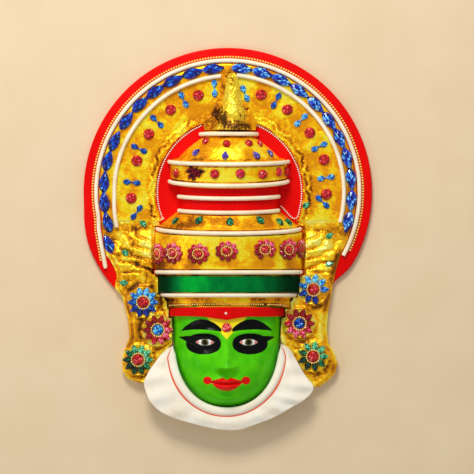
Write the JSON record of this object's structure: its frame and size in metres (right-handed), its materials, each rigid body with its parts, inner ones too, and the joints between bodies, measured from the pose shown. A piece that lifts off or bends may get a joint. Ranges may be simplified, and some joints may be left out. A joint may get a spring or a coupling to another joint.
{
  "type": "kathakali mask",
  "caption": "Decorative wall mask: green painted face under a stepped gilt crown, round red halo board, ivory collar, cords and set stones.",
  "frame": {"origin": "middle of the mask's box in plan, on the back plane that it lies on", "axes": "+Z out of the face, +Y towards the top of the crown, +X to the right as one looks at the face"},
  "size_m": [0.3039, 0.4019, 0.0578],
  "materials": {
    "red_paint": "matt red paint on moulded fibre",
    "gold_foil": "crinkled gilt foil laid on moulded fibre",
    "pale_foil": "pale crumpled gilt foil",
    "green_enamel": "glossy green enamel with painted lines",
    "ivory_satin": "satin ivory enamel with a red line",
    "red_felt": "red felt band",
    "green_velvet": "green velvet ribbon",
    "ivory_cord": "smooth round cotton cord",
    "blue_stone": "faceted foil-backed acrylic",
    "red_stone": "faceted foil-backed acrylic",
    "green_stone": "faceted foil-backed acrylic"
  },
  "bodies": {
    "root": {"halo_board": "red_paint", "halo_band": "gold_foil", "crown": "gold_foil", "spire_panel": "gold_foil", "side_leaf_left": "gold_foil", "side_leaf_right": "gold_foil", "finial": "pale_foil", "face": "green_enamel", "collar": "ivory_satin", "frontlet": "red_felt", "green_ribbon": "green_velvet", "crown_cord_1": "ivory_cord", "crown_cord_2": "ivory_cord", "crown_cord_3": "ivory_cord", "crown_cord_4": "ivory_cord", "crown_cord_5": "ivory_cord", "crown_cord_6": "ivory_cord", "crown_cord_7": "ivory_cord", "crown_cord_8": "ivory_cord", "halo_cord_outer": "ivory_cord", "halo_cord_inner_left": "ivory_cord", "halo_cord_inner_right": "ivory_cord", "blue_drops_left": "blue_stone", "blue_drops_right": "blue_stone", "blue_pair_left_1": "blue_stone", "blue_pair_left_2": "blue_stone", "blue_pair_left_3": "blue_stone", "blue_pair_left_4": "blue_stone", "blue_pair_left_5": "blue_stone", "blue_pair_left_6": "blue_stone", "blue_pair_right_1": "blue_stone", "blue_pair_right_2": "blue_stone", "blue_pair_right_3": "blue_stone", "blue_pair_right_4": "blue_stone", "blue_pair_right_5": "blue_stone", "blue_pair_right_6": "blue_stone", "flower_left_upper": "blue_stone", "flower_right_upper": "blue_stone", "red_stone_left_1": "red_stone", "red_stone_left_2": "red_stone", "red_stone_left_3": "red_stone", "red_stone_left_4": "red_stone", "red_stone_left_5": "red_stone", "red_stone_right_1": "red_stone", "red_stone_right_2": "red_stone", "red_stone_right_3": "red_stone", "red_stone_right_4": "red_stone", "red_stone_right_5": "red_stone", "drum_flower_1": "red_stone", "drum_flower_2": "red_stone", "drum_flower_3": "red_stone", "drum_flower_4": "red_stone", "drum_flower_5": "red_stone", "drum_flower_6": "red_stone", "drum_flower_7": "red_stone", "flower_left_middle": "red_stone", "flower_right_middle": "red_stone", "flower_left_lower": "green_stone", "flower_right_lower": "green_stone"}
  },
  "joints": []
}
